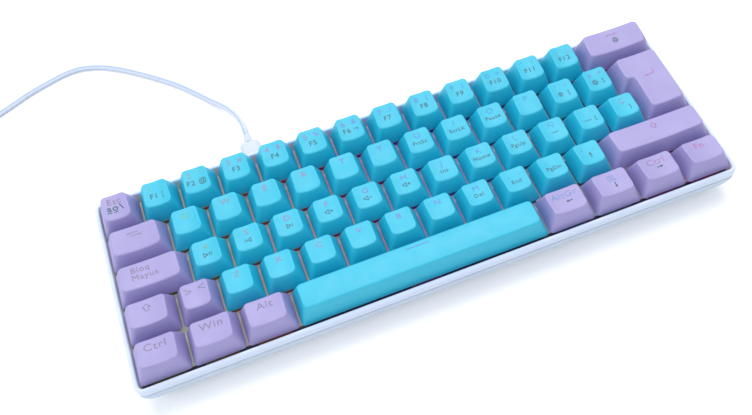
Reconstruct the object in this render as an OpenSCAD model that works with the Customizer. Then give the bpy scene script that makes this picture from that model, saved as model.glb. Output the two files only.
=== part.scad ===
// Compact mechanical keyboard with a detachable cable. Millimetres, +Z up.
// The origin is on the table under the middle of the keyboard, +X points to its right end
// and +Y to its back edge. Most pieces are drawn in the plate frame, whose zero is the middle
// of the switch plate's upper face: there y runs up the slope and w stands square to the plate.

/* [Key field] */
// Distance between the centres of neighbouring keys
key_pitch = 19.05; // [18.95:0.05:19.15]
// Gap between the skirts of neighbouring keycaps
cap_gap = 0.8; // [0.8:0.1:1.2]
// Height of a keycap's skirt above the switch plate
skirt_lift = 4.6; // [4.6:0.1:5.4]
// How far the left and right sides of a keycap lean in, up to the middle of its top
cap_side_lean = 3.25; // [3.05:0.05:3.45]
// Wall thickness of a keycap
cap_wall = 1.2; // [1:0.1:1.3]
// Thickness of a keycap's top
cap_top = 1.6; // [1.3:0.1:2]
// Slope of the key field towards the back, in degrees
typing_angle = 6; // [5.5:0.25:6.5]

/* [Case] */
// Width of the case
case_w = 290; // [289:0.5:292]
// Depth of the case in the plane of the keys
case_d = 100.6; // [100.2:0.2:101.6]
// Height of the rim above the switch plate
rim_lift = 6.2; // [5.4:0.1:7]
// Wall thickness of the case
case_wall = 2.1; // [1.8:0.1:2.2]
// Radius of the case's four upright corners
corner_r = 4; // [3:0.5:5]
// Height of the plate's middle above the table
plate_lift = 17.4; // [17.2:0.1:18.5]
// Height of the rubber feet
foot_h = 1.2; // [1:0.1:1.6]

/* [Cable] */
// Diameter of the cable
cable_d = 3; // [2.8:0.1:3.2]
// Sideways place of the socket, from the middle of the keyboard
socket_x = -66.5; // [-68:0.5:-66]

/* [Hidden] */
// Rows from the back to the front: height of the cap's front and back edge above the plate,
// then how far its front and back faces lean in.
ROWS = [
    [15.2, 17, 3.05, 2.95],
    [13.7, 14.9, 3.55, 2.65],
    [13.7, 14, 3.35, 2.85],
    [14.6, 13.6, 3.35, 2.45],
    [14.6, 13.6, 3.35, 2.45],
];
// Nodes with keys: name, row, left edge and width in key pitches, keys side by side.
KEYS = [
    ["key_escape", 0, 0, 1, 1],
    ["keys_1_2", 0, 1, 1, 2],
    ["keys_3_4", 0, 3, 1, 2],
    ["keys_5_6", 0, 5, 1, 2],
    ["keys_7_8", 0, 7, 1, 2],
    ["keys_9_0", 0, 9, 1, 2],
    ["keys_f11_f12", 0, 11, 1, 2],
    ["key_backspace", 0, 13, 2, 1],
    ["key_tab", 1, 0, 1.5, 1],
    ["keys_q_w", 1, 1.5, 1, 2],
    ["keys_e_r", 1, 3.5, 1, 2],
    ["keys_t_y", 1, 5.5, 1, 2],
    ["keys_u_i", 1, 7.5, 1, 2],
    ["keys_o_p", 1, 9.5, 1, 2],
    ["keys_brackets", 1, 11.5, 1, 2],
    ["key_caps_lock", 2, 0, 1.75, 1],
    ["keys_a_s", 2, 1.75, 1, 2],
    ["keys_d_f", 2, 3.75, 1, 2],
    ["keys_g_h", 2, 5.75, 1, 2],
    ["keys_j_k", 2, 7.75, 1, 2],
    ["keys_l_n_tilde", 2, 9.75, 1, 2],
    ["keys_braces", 2, 11.75, 1, 2],
    ["key_left_shift", 3, 0, 1.25, 1],
    ["key_angle", 3, 1.25, 1, 1],
    ["keys_z_x", 3, 2.25, 1, 2],
    ["keys_c_v", 3, 4.25, 1, 2],
    ["keys_b_n", 3, 6.25, 1, 2],
    ["keys_m_comma", 3, 8.25, 1, 2],
    ["keys_dot_dash", 3, 10.25, 1, 2],
    ["key_right_shift", 3, 12.25, 2.75, 1],
    ["key_left_ctrl", 4, 0, 1.25, 1],
    ["key_win", 4, 1.25, 1.25, 1],
    ["key_alt", 4, 2.5, 1.25, 1],
    ["key_space", 4, 3.75, 6.25, 1],
    ["key_alt_gr", 4, 10, 1.25, 1],
    ["key_menu", 4, 11.25, 1.25, 1],
    ["key_right_ctrl", 4, 12.5, 1.25, 1],
    ["key_fn", 4, 13.75, 1.25, 1],
];
// Stabilised keys: name of the wire, key centre in key pitches (across, rows from the back),
// half the distance between the two stabiliser stems, and the turn of the wire in degrees.
STABILIZED = [
    ["wire_backspace", 14, 0, 11.94, 0],
    ["wire_enter", 14.375, 1.5, 11.94, 90],
    ["wire_right_shift", 13.625, 3, 11.94, 0],
    ["wire_space", 6.875, 4, 50, 0],
];

$fn = 48;
row_units = 15;
cap_half = (key_pitch - cap_gap) / 2;
enter_place = [14.375, 1.5];
enter_upper = [13.5, 15];
enter_lower = [13.75, 15];

// Plate frame
plate_y = 0.7;
plate_t = 1.5;
plate_edge = 0.7;
board_w = -5;
board_t = 1.6;
board_size = [280, 92.2];
board_y = 0.2;
case_y = -0.4;

// Switch
hole_side = 14;
base_side = 13.9;
flange_side = 15.5;
flange_h = 1;
base_wall = 0.9;
base_floor = 0.4;
pole_r = 1.95;
pole_end = -8.3;
cavity_side = base_side - 2 * base_wall;
top_steps = [[13.6, 1, 3], [11.6, 3, 5], [9.8, 5, 6.6]];
top_opening = [7.4, 6.2];
stem_body = [6.9, 5.3];
stem_top = 6.6;
stem_bottom = -0.3;
cross_top = 10.2;
cross_arm = [4, 1.2];
socket_r = 2.75;
stem_gap = 0.02;
spring_r = 2.2;
spring_wire = 0.4;
spring_seat = 3;
led_size = [3.4, 2.8, 0.8];
led_y = 4.9;

// Stabiliser
stab_body = [6.6, 12.8];
stab_body_y = -0.2;
stab_span_w = [-4.9, 2.5];
stab_mouth_top = 1.8;
stab_well = [4.6, 5.6];
stab_stem = [4.2, 5.2];
stab_stem_bottom = -0.85;
wire_r = 0.8;
wire_arm = 8.5;
wire_rest_angle = 28;
wire_pivot = [-8, -3.3];
wire_slot_w = [-0.55, 1.8];
wire_slot_y = [-3.4, -0.9, 1.8];

// Case
part_w = 1;
step_in = 0.3;
tongue_t = 0.8;
tongue_w = -1;
floor_t = 2.2;
inner_r = 2;
knee_z = 7.7;
knee_in = 1;
side_knee_in = 0.7;
undercut = 5;
skin = 1.7;
screw_places = [[-128, 1.5], [-9.5, 1.5], [95, 1.5], [-128, -1.5], [-9.5, -1.5], [95, -1.5]];
boss_r = 2.6;
screw_r = 1;
screw_hole_r = 1.1;
screw_head = [1.9, 1.4];
screw_len = 5.5;
foot_r = 5;
foot_places = [[-126, -33], [126, -33], [-126, 34], [126, 34]];

// Socket, plugs and cable
socket_w = board_w - board_t - 1.63;
socket_shell = [8.94, 3.26, 7.3];
socket_mouth = 48.6;
socket_skin = 0.3;
port_gap = 0.4;
c_shell = [8.25, 2.4, 6.4];
c_grip = [10.6, 6, 16.7];
c_grip_y = 49.8;
c_neck = [2.8, 1.75, 5];
a_grip = [15, 8, 18];
a_neck = [2.6, 1.7, 6];
a_shell = [12, 4.5, 12];
a_place = [-243, 206, 4];
tongue_size = [6.6, 0.7, 5];
cable_exit_y = c_grip_y + c_grip[2] + c_neck[2];
cable_sides = 8;
rings_per_leg = 2;
coil_centre = [-222, 178];
coil_mean_r = 16.5;
coil_size = [9, 12];
// From the plug down to the table and round to the coil, chosen by hand
cable_route = [
    [-66.8, 85, 13.6],
    [-68.6, 97, 9.2],
    [-72.6, 110, 4.4],
    [-79.4, 122, 1.6],
    [-90, 137, 1.5],
    [-98.5, 147, 1.5],
    [-109.5, 158, 1.5],
    [-121, 168.3, 1.5],
    [-131.5, 175.5, 1.5],
    [-142, 179.6, 1.5],
    [-151, 179.8, 1.5],
    [-160, 177.4, 1.5],
    [-173.5, 172.4, 1.5],
    [-186, 166, 1.5],
    [-198, 160.4, 1.5],
    [-209, 158, 1.5],
    [-218, 158.7, 1.5],
];
// From the coil's last turn to the plug at the far end
tail_route = [
    [-241.5, 178, 10.5],
    [-241.5, 184, 10.2],
    [-241.8, 190, 8.6],
    [-242.4, 196, 5.9],
    [-242.9, 201, 4.3],
];

function key_x(u) = (u - row_units / 2) * key_pitch;
function row_y(row) = (2 - row) * key_pitch;
// A point of the plate frame, as [y, z] of the keyboard
function tilted(y, w) = [
    plate_y + y * cos(typing_angle) - w * sin(typing_angle),
    plate_lift + y * sin(typing_angle) + w * cos(typing_angle)
];
// Centre of every single key: [x, y]
key_centres = concat(
    [for (key = KEYS) for (i = [0 : key[4] - 1])
        [key_x(key[2] + key[3] * (i + 0.5)), row_y(key[1])]],
    [[key_x(enter_place[0]), row_y(enter_place[1])]]
);

module on_plate() {
    translate([0, plate_y, plate_lift]) rotate([typing_angle, 0, 0]) children();
}

// A block standing on the height bottom and reaching the height top
module block(size, bottom, top) {
    translate([-size[0] / 2, -size[1] / 2, bottom]) cube([size[0], size[1], top - bottom]);
}

module rod(r, bottom, top) {
    translate([0, 0, bottom]) cylinder(r = r, h = top - bottom);
}

module rounded_rect(size, r) {
    square([size[0] - 2 * r, size[1]], center = true);
    square([size[0], size[1] - 2 * r], center = true);
    for (x = [-1, 1], y = [-1, 1])
        translate([x * (size[0] / 2 - r), y * (size[1] / 2 - r)]) circle(r);
}

// A flat-sided tube end: a slot shape of the given width and height
module slot_shape(size) {
    square([size[0] - size[1], size[1]], center = true);
    for (x = [-1, 1]) translate([x * (size[0] - size[1]) / 2, 0]) circle(size[1] / 2);
}

// Extrudes a shape of the x-w plane along y, from y0 to y1
module along_y(y0, y1) {
    translate([0, y1, 0]) rotate([90, 0, 0]) linear_extrude(y1 - y0) children();
}

// Extrudes a shape of the y-z plane along x, centred
module along_x(width) {
    rotate([90, 0, 90]) translate([0, 0, -width / 2]) linear_extrude(width) children();
}

// ---- Keycaps and stems, drawn around the key's centre in the plate frame ----

// Four-sided cap form over the box [left, right] x [front, back]. Inset shrinks it on every side
// and drop lowers its top, which gives the hollow.
module cap_form(left, right, front, back, row_front, row_back, inset, drop) {
    top_w = skirt_lift + 14;
    lean = cap_side_lean * 14 / ((row_back[0] + row_back[1]) / 2 - skirt_lift);
    low = inset > 0 ? skirt_lift - 1 : skirt_lift;
    intersection() {
        translate([(left + right) / 2, 0, 0]) along_x(right - left + 2) polygon([
            [front + inset, low],
            [back - inset, low],
            [back - inset, skirt_lift],
            [back - row_back[3] - inset, row_back[1] - drop],
            [front + row_front[2] + inset, row_front[0] - drop],
            [front + inset, skirt_lift]
        ]);
        along_y(front - 1, back + 1) polygon([
            [left + inset, low],
            [right - inset, low],
            [right - inset, skirt_lift],
            [right - lean - inset, top_w],
            [left + lean + inset, top_w],
            [left + inset, skirt_lift]
        ]);
    }
}

// The cross on a stem, or with a gap the hole that takes it
module stem_cross(bottom, top, gap = 0) {
    long = cross_arm[0] + 2 * gap;
    thin = cross_arm[1] + 2 * gap;
    block([long, thin], bottom, top);
    block([thin, long], bottom, top);
}

module switch_stem() {
    color("crimson") {
        difference() {
            block(stem_body, stem_bottom, stem_top);
            rod(spring_r, stem_bottom - 1, spring_seat);
        }
        stem_cross(stem_top, cross_top);
    }
}

// Slot for the wire's arm, from the stem's front face back to the given y
module wire_slot(back, floor_w) {
    translate([0, (wire_slot_y[0] + back) / 2, 0])
        block([2.4, back - wire_slot_y[0]], floor_w, wire_slot_w[1]);
}

module stabilizer_stem() {
    color("ivory") {
        difference() {
            block(stab_stem, stab_stem_bottom, stem_top);
            wire_slot(wire_slot_y[2], wire_slot_w[0]);
            wire_slot(wire_slot_y[1], stab_stem_bottom - 1);
        }
        stem_cross(stem_top, cross_top);
    }
}

// Socket tubes that hang from the cap's top and hold the stems at the given places
module cap_sockets(places, top) {
    for (p = places) translate([p[0], p[1], 0]) difference() {
        rod(socket_r, stem_top + stem_gap, top);
        stem_cross(stem_top - 1, cross_top + stem_gap, stem_gap);
    }
}

module standard_cap(row, width, places) {
    half = (width * key_pitch - cap_gap) / 2;
    form = ROWS[row];
    difference() {
        cap_form(-half, half, -cap_half, cap_half, form, form, 0, 0);
        cap_form(-half, half, -cap_half, cap_half, form, form, cap_wall, cap_top);
    }
    intersection() {
        cap_form(-half, half, -cap_half, cap_half, form, form, 0.1, 0.1);
        cap_sockets(places, 20);
    }
}

// Half the distance between the stabiliser stems under a cap of this width, or 0
function stabilizer_half(width) = width > 6 ? 50 : width >= 2 ? 11.94 : 0;

module single_key(row, width, colour) {
    half = stabilizer_half(width);
    outer = half > 0 ? [[-half, 0], [half, 0]] : [];
    color(colour) standard_cap(row, width, concat([[0, 0]], outer));
    switch_stem();
    for (p = outer) translate([p[0], 0, 0]) stabilizer_stem();
}

module key_node(key) {
    special = key[3] > 1 || key[0] == "key_escape" || key[0] == "key_angle";
    colour = special && key[3] < 6 ? "mediumpurple" : "turquoise";
    on_plate() for (i = [0 : key[4] - 1])
        translate([key_x(key[2] + key[3] * (i + 0.5)), row_y(key[1]), 0])
            single_key(key[1], key[3], colour);
}

// The tall return key: a wide upper block on a narrower one that spans two rows
module enter_form(inset, drop) {
    x0 = key_x(enter_place[0]);
    half_gap = cap_gap / 2;
    edges = [
        [enter_upper, 0.5, ROWS[2]],
        [enter_lower, -0.5, ROWS[2]],
    ];
    top_edge = key_pitch - half_gap;
    for (e = edges) {
        front = e[1] < 0 ? -top_edge : half_gap;
        back = top_edge;
        // Both blocks share one sloping top, so the upper block's front edge is raised to it
        slope = (ROWS[1][1] - ROWS[2][0]) / (2 * top_edge - ROWS[2][2] - ROWS[1][3]);
        lift = (front + top_edge) * slope;
        cap_form(
            key_x(e[0][0]) - x0 + half_gap, key_x(e[0][1]) - x0 - half_gap, front, back,
            [ROWS[2][0] + lift, 0, ROWS[2][2], 0], ROWS[1], inset, drop
        );
    }
}

module key_enter() {
    half = STABILIZED[1][3];
    places = [[0, 0], [0, -half], [0, half]];
    on_plate() translate([key_x(enter_place[0]), row_y(enter_place[1]), 0]) {
        color("mediumpurple") {
            difference() {
                enter_form(0, 0);
                enter_form(cap_wall, cap_top);
            }
            intersection() {
                enter_form(0.1, 0.1);
                cap_sockets(places, 20);
            }
        }
        switch_stem();
        for (y = [-half, half]) translate([0, y, 0]) rotate([0, 0, 90]) stabilizer_stem();
    }
}

// ---- Switches, plate and board ----

module at_keys() {
    for (p = key_centres) translate([p[0], p[1], 0]) children();
}

// Places the children at both stabiliser stems of a wide key
module at_stabilizers() {
    for (stab = STABILIZED, side = [-1, 1])
        translate([key_x(stab[1]), row_y(stab[2]), 0])
            rotate([0, 0, stab[4]]) translate([side * stab[3], 0, 0]) children();
}

module switch_bases() {
    color("dimgray") on_plate() at_keys() {
        difference() {
            union() {
                block([base_side, base_side], board_w, 0);
                block([flange_side, flange_side], 0, flange_h);
                rod(pole_r, pole_end, board_w);
            }
            block([cavity_side, cavity_side], board_w + base_floor, flange_h + 1);
            translate([0, led_y, 0]) block([4.2, 3.4], board_w - 1, 0);
        }
    }
}

module switch_tops() {
    color("lightgray") on_plate() at_keys() {
        difference() {
            for (s = top_steps) block([s[0], s[0]], s[1], s[2]);
            block([cavity_side - 1.6, cavity_side - 1.6], 0, top_steps[1][2] - 0.6);
            block(top_opening, 0, 8);
        }
    }
}

module switch_springs() {
    color("silver") on_plate() at_keys() difference() {
        rod(spring_r, board_w + base_floor, spring_seat);
        rod(spring_r - spring_wire, board_w, spring_seat + 1);
    }
}

module switch_plate() {
    size = [case_w - 2 * case_wall - 2 * plate_edge, case_d - 2 * case_wall - 2 * plate_edge];
    color("whitesmoke") on_plate() difference() {
        translate([0, case_y, -plate_t]) linear_extrude(plate_t) rounded_rect(size, 2);
        at_keys() block([hole_side, hole_side], -plate_t - 1, 1);
        at_stabilizers() translate([0, stab_body_y, 0])
            block(stab_body + [0.2, 0.2], -plate_t - 1, 1);
        for (p = screw_places) translate([p[0], p[1] * key_pitch, 0])
            rod(screw_head[0] + 0.3, -plate_t - 1, 1);
    }
}

module circuit_board() {
    color("darkgreen") on_plate() difference() {
        translate([0, board_y, 0]) block(board_size, board_w - board_t, board_w);
        at_keys() rod(pole_r + 0.05, board_w - board_t - 1, board_w + 1);
        for (p = screw_places) translate([p[0], p[1] * key_pitch, 0])
            rod(screw_hole_r, board_w - board_t - 1, board_w + 1);
    }
}

module controller_chip() {
    color("black") on_plate() translate([-40, key_pitch / 2, 0])
        block([9, 9], board_w - board_t - 1.2, board_w - board_t);
}

module backlight_leds() {
    color("white") on_plate() at_keys() translate([0, led_y, 0])
        block([led_size[0], led_size[1]], board_w, board_w + led_size[2]);
}

module stabilizer_housings() {
    color("ivory") on_plate() at_stabilizers() difference() {
        translate([0, stab_body_y, 0]) block(stab_body, stab_span_w[0], stab_span_w[1]);
        block(stab_well, stab_span_w[0] - 1, stab_span_w[1] + 1);
        translate([0, -stab_body[1] / 2, 0]) block([2.6, stab_body[1]], -6, stab_mouth_top);
    }
}

// Wire: a bar that turns in front of the stabiliser housings, with an arm to each stem
module stabilizer_wire(stab) {
    color("silver") on_plate() translate([key_x(stab[1]), row_y(stab[2]), 0])
        rotate([0, 0, stab[4]]) translate([0, wire_pivot[0], wire_pivot[1]]) {
            rotate([0, 90, 0]) rod(wire_r, -stab[3], stab[3]);
            for (x = [-stab[3], stab[3]]) translate([x, 0, 0]) {
                sphere(wire_r);
                rotate([wire_rest_angle - 90, 0, 0]) rod(wire_r, 0, wire_arm);
            }
        }
}

// ---- Case ----

module case_outline(inset, r) {
    translate([0, case_y]) rounded_rect([case_w - 2 * inset, case_d - 2 * inset], r);
}

module top_frame() {
    color("white") on_plate() difference() {
        union() {
            translate([0, 0, part_w]) linear_extrude(rim_lift - part_w)
                case_outline(0, corner_r);
            translate([0, 0, tongue_w]) linear_extrude(part_w - tongue_w + 1)
                case_outline(case_wall - tongue_t, corner_r - 1);
        }
        translate([0, 0, -5]) linear_extrude(20) case_outline(case_wall, inner_r);
    }
}

// Side view of the lower shell: upright walls, a knee, and an undercut down to the flat bottom
module shell_side(inset, bottom, skin_in) {
    front = tilted(case_y - case_d / 2 + step_in + inset, part_w);
    back = tilted(case_y + case_d / 2 - step_in - inset, part_w);
    reach = inset > 0 ? 12 : 0;
    polygon([
        front + [0, reach],
        [front[0] + knee_in, knee_z],
        [front[0] + knee_in + undercut + skin_in, bottom],
        [back[0] - undercut - skin_in, bottom],
        [back[0] + 0.4, knee_z],
        back + [0, reach]
    ]);
}

module shell_front(inset, bottom, skin_in) {
    half = case_w / 2 - step_in - inset;
    polygon([
        [-half, 40],
        [-half + side_knee_in, knee_z],
        [-half + side_knee_in + undercut + skin_in, bottom],
        [half - side_knee_in - undercut - skin_in, bottom],
        [half - side_knee_in, knee_z],
        [half, 40]
    ]);
}

module shell_outer() {
    intersection() {
        along_x(400) shell_side(0, foot_h, 0);
        along_y(-80, 80) shell_front(0, foot_h, 0);
        on_plate() translate([0, 0, -40]) linear_extrude(40 + part_w)
            case_outline(step_in, corner_r);
    }
}

module bottom_case() {
    color("aliceblue") difference() {
        union() {
            difference() {
                shell_outer();
                intersection() {
                    along_x(400) shell_side(skin, foot_h + floor_t, -0.4);
                    along_y(-80, 80) shell_front(skin, foot_h + floor_t, -0.4);
                }
                on_plate() translate([0, 0, tongue_w - 0.1]) linear_extrude(10)
                    case_outline(case_wall - tongue_t - 0.05, corner_r - 1);
            }
            intersection() {
                shell_outer();
                on_plate() for (p = screw_places) translate([p[0], p[1] * key_pitch, 0])
                    rod(boss_r, -40, board_w - board_t);
            }
        }
        on_plate() {
            for (p = screw_places) translate([p[0], p[1] * key_pitch, 0])
                rod(screw_r, board_w - board_t - screw_len, 0);
            translate([socket_x, 0, socket_w]) along_y(socket_mouth - 6, 60)
                slot_shape([socket_shell[0] + 2 * port_gap, socket_shell[1] + 2 * port_gap]);
        }
    }
}

module case_screws() {
    color("silver") on_plate() for (p = screw_places) translate([p[0], p[1] * key_pitch, 0]) {
        rod(screw_head[0], board_w, board_w + screw_head[1]);
        rod(screw_r, board_w - board_t - screw_len + 1, board_w);
    }
}

module rubber_feet() {
    color("gray") for (p = foot_places) translate([p[0], p[1], 0]) cylinder(r = foot_r, h = foot_h);
}

// ---- Socket, plugs and cable ----

module usb_socket() {
    front = socket_mouth - socket_shell[2];
    color("silver") on_plate() translate([socket_x, 0, socket_w]) {
        difference() {
            along_y(front, socket_mouth) slot_shape([socket_shell[0], socket_shell[1]]);
            along_y(front + 0.8, socket_mouth + 1) slot_shape(
                [socket_shell[0] - 2 * socket_skin, socket_shell[1] - 2 * socket_skin]);
        }
        along_y(front + 0.8, front + 0.8 + tongue_size[2])
            square([tongue_size[0], tongue_size[1]], center = true);
    }
}

module plug_shells() {
    color("silver") {
        on_plate() translate([socket_x, c_grip_y - c_shell[2], socket_w]) difference() {
            along_y(0, c_shell[2]) slot_shape([c_shell[0], c_shell[1]]);
            along_y(-1, c_shell[2] - 0.6) slot_shape([c_shell[0] - 0.6, c_shell[1] - 0.6]);
        }
        translate(a_place + [0, a_neck[2] + a_grip[2], 0]) difference() {
            along_y(0, a_shell[2]) square([a_shell[0], a_shell[1]], center = true);
            along_y(1, a_shell[2] + 1)
                square([a_shell[0] - 0.8, a_shell[1] - 0.8], center = true);
        }
    }
}

// Tapered sleeve along +y where the cable enters a plug: radius at the plug, at the cable, length
module neck(size, turn) {
    rotate([turn, 0, 0]) cylinder(r1 = size[0], r2 = size[1], h = size[2]);
}

module plug_grips() {
    color("white") {
        on_plate() translate([socket_x, 0, socket_w]) {
            along_y(c_grip_y, c_grip_y + c_grip[2]) rounded_rect([c_grip[0], c_grip[1]], 2.4);
            translate([0, c_grip_y + c_grip[2], 0]) neck(c_neck, -90);
        }
        translate(a_place + [0, a_neck[2], 0]) {
            along_y(0, a_grip[2]) rounded_rect([a_grip[0], a_grip[1]], 2.4);
            neck(a_neck, 90);
        }
    }
}

// Catmull-Rom curve through the route's points
function spline(a, b, c, d, t) =
    0.5 * (2 * b + (c - a) * t + (2 * a - 5 * b + 4 * c - d) * t * t
        + (3 * b - a - 3 * c + d) * t * t * t);
function clamp_at(p, i) = p[max(0, min(len(p) - 1, i))];
function smooth(p) = concat(
    [for (i = [0 : len(p) - 2]) for (j = [0 : rings_per_leg - 1])
        spline(clamp_at(p, i - 1), p[i], p[i + 1], clamp_at(p, i + 2), j / rings_per_leg)],
    [p[len(p) - 1]]
);
function unit(v) = v / norm(v);
function heading(p, i) = unit(clamp_at(p, i + 1) - clamp_at(p, i - 1));
// Ring of points around p[i], square to the curve
function ring(p, i, r) =
    let (d = heading(p, i), side = unit(cross([0, 0, 1], d)), up = cross(d, side))
    [for (k = [0 : cable_sides - 1])
        p[i] + r * (cos(360 * k / cable_sides) * side + sin(360 * k / cable_sides) * up)];

module tube(points, r) {
    n = len(points);
    s = cable_sides;
    polyhedron(
        points = [for (i = [0 : n - 1]) each ring(points, i, r)],
        faces = concat(
            [[for (k = [s - 1 : -1 : 0]) k]],
            [for (i = [0 : n - 2]) for (k = [0 : s - 1]) each [
                [i * s + k, i * s + (k + 1) % s, (i + 1) * s + k],
                [i * s + (k + 1) % s, (i + 1) * s + (k + 1) % s, (i + 1) * s + k]]],
            [[for (k = [0 : s - 1]) (n - 1) * s + k]]
        )
    );
}

module cable() {
    exit = tilted(cable_exit_y, socket_w);
    lead = tilted(cable_exit_y + 4, socket_w);
    start = [[socket_x, exit[0], exit[1]], [socket_x, lead[0], lead[1]]];
    color("lightsteelblue") {
        tube(smooth(concat(start, cable_route)), cable_d / 2);
        tube(smooth(concat(tail_route, [a_place])), cable_d / 2);
    }
}

module cable_coil() {
    color("lightsteelblue") translate([coil_centre[0], coil_centre[1], 0]) rotate_extrude()
        translate([coil_mean_r, coil_size[1] / 2]) rounded_rect(coil_size, 1.5);
}

// ---- Nodes ----

top_frame();
bottom_case();
switch_plate();
circuit_board();
controller_chip();
backlight_leds();
usb_socket();
switch_bases();
switch_tops();
switch_springs();
stabilizer_housings();
case_screws();
rubber_feet();
plug_shells();
plug_grips();
cable();
cable_coil();
key_enter();
for (stab = STABILIZED) stabilizer_wire(stab);
for (key = KEYS) key_node(key);
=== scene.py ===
"""Looks of a compact mechanical keyboard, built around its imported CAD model.

Most shapes are given in millimetres in the plate frame of part.scad: x to the right, y up the
slope of the key field, w square to the switch plate. PLATE takes them to the row frame in metres.
"""

import math

import bmesh
import bpy
from mathutils import Matrix, Vector


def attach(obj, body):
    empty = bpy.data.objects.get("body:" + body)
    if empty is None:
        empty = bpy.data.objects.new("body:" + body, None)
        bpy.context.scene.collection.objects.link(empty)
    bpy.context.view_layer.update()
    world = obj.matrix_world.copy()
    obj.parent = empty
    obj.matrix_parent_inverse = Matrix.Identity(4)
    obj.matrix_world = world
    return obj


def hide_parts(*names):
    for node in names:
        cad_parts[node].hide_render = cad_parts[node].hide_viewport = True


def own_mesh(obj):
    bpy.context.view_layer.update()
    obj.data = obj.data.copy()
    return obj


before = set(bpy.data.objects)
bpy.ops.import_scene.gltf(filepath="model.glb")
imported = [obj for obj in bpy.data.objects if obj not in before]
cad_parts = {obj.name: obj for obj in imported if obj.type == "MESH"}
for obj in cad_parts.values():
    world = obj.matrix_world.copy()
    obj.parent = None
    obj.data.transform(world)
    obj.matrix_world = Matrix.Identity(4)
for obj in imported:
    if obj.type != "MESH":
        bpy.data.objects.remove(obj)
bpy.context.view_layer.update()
scene = bpy.context.scene

MM = 0.001
PITCH = 19.05
CAP_GAP = 0.8
SKIRT = 4.6
SIDE_LEAN = 3.25
CAP_HALF = (PITCH - CAP_GAP) / 2
CAP_WALL = 1.2
CAP_TOP = 1.6
TILT = math.radians(6)
ROW = Matrix.Scale(MM, 4)
PLATE = (Matrix.Translation((0, 0.0007, 0.0174)) @ Matrix.Rotation(TILT, 4, "X")
         @ Matrix.Scale(MM, 4))
BASE = "keyboard"

# ---------------------------------------------------------------- camera and light


def add_camera():
    data = bpy.data.cameras.new("main_camera")
    data.sensor_width = 36
    data.lens = 43.217
    data.shift_x = -0.0763
    data.shift_y = -0.0461
    data.clip_start = 0.01
    data.clip_end = 20
    camera = bpy.data.objects.new("main_camera", data)
    camera.location = (-0.06652, -0.25564, 0.35979)
    camera.rotation_euler = [math.radians(a) for a in (38.707, 3.987, -21.491)]
    scene.collection.objects.link(camera)
    scene.camera = camera


def add_area_light(name, at, size, power, colour):
    """Area light that faces the origin."""
    data = bpy.data.lights.new(name, "AREA")
    data.shape = "RECTANGLE"
    data.size = size[0]
    data.size_y = size[1]
    data.energy = power
    data.color = colour
    light = bpy.data.objects.new(name, data)
    light.location = at
    light.rotation_euler = (-Vector(at)).to_track_quat("-Z", "Y").to_euler()
    scene.collection.objects.link(light)


add_camera()
scene.view_settings.view_transform = "Standard"

# ---------------------------------------------------------------- meshes


def finish_mesh(bm, name, matrix, materials, smooth_angle=35):
    """Object from a bmesh whose points are in the frame that matrix takes to the row frame."""
    bm.transform(matrix)
    bmesh.ops.recalc_face_normals(bm, faces=bm.faces)
    mesh = bpy.data.meshes.new(name)
    bm.to_mesh(mesh)
    bm.free()
    for material in materials:
        mesh.materials.append(material)
    for polygon in mesh.polygons:
        polygon.use_smooth = True
    mesh.set_sharp_from_angle(angle=math.radians(smooth_angle))
    piece = bpy.data.objects.new(name, mesh)
    scene.collection.objects.link(piece)
    return piece


def place(piece, body, slot, *nodes):
    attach(piece, body)
    if nodes:
        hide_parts(*nodes)


def add_piece(bm, name, matrix, materials, body, slot, *nodes, smooth_angle=35):
    """A finished mesh that rides on a body and may stand for CAD nodes."""
    piece = finish_mesh(bm, name, matrix, [M[m] for m in materials], smooth_angle)
    place(piece, body, slot, *nodes)
    return piece


def ring_strip(bm, rings, material=0, close=False):
    """Quads between rings of the same number of points."""
    made = [[bm.verts.new(p) for p in ring] for ring in rings]
    pairs = list(zip(made, made[1:]))
    if close:
        pairs.append((made[-1], made[0]))
    for low, high in pairs:
        count = len(low)
        for i in range(count):
            j = (i + 1) % count
            face = bm.faces.new((low[i], low[j], high[j], high[i]))
            face.material_index = material
    return made


def cap_ring(bm, ring, centre):
    """Closes a ring with triangles to a point in its middle."""
    middle = bm.verts.new(centre)
    for i, v in enumerate(ring):
        bm.faces.new((v, ring[(i + 1) % len(ring)], middle))


def outline(corners, radius, arc=5, side=7):
    """Closed outline through the corners, rounded, as [x, y] points."""
    points = []
    count = len(corners)
    cut = []
    for i, corner in enumerate(corners):
        here = Vector(corner)
        before = (Vector(corners[i - 1]) - here).normalized() * radius
        after = (Vector(corners[(i + 1) % count]) - here).normalized() * radius
        cut.append((here + before, here, here + after))
    for i in range(count):
        start, here, end = cut[i]
        for k in range(arc + 1):
            t = k / arc
            points.append(start * (1 - t) ** 2 + here * 2 * t * (1 - t) + end * t ** 2)
        reach = cut[(i + 1) % count][0]
        for k in range(1, side + 1):
            points.append(end.lerp(reach, k / (side + 1)))
    return points


def rectangle(half_x, half_y, centre_y=0.0):
    return [(-half_x, centre_y - half_y), (half_x, centre_y - half_y),
            (half_x, centre_y + half_y), (-half_x, centre_y + half_y)]


def block(bm, size, bottom, top, at, bevel):
    """Box with bevelled edges, standing on the height bottom."""
    made = bmesh.ops.create_cube(bm, size=1)["verts"]
    for v in made:
        v.co = (at[0] + v.co.x * size[0], at[1] + v.co.y * size[1],
                bottom + (v.co.z + 0.5) * (top - bottom))
    edges = list({e for v in made for e in v.link_edges})
    bmesh.ops.bevel(bm, geom=edges, offset=bevel, segments=2, affect="EDGES", profile=0.5)


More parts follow.
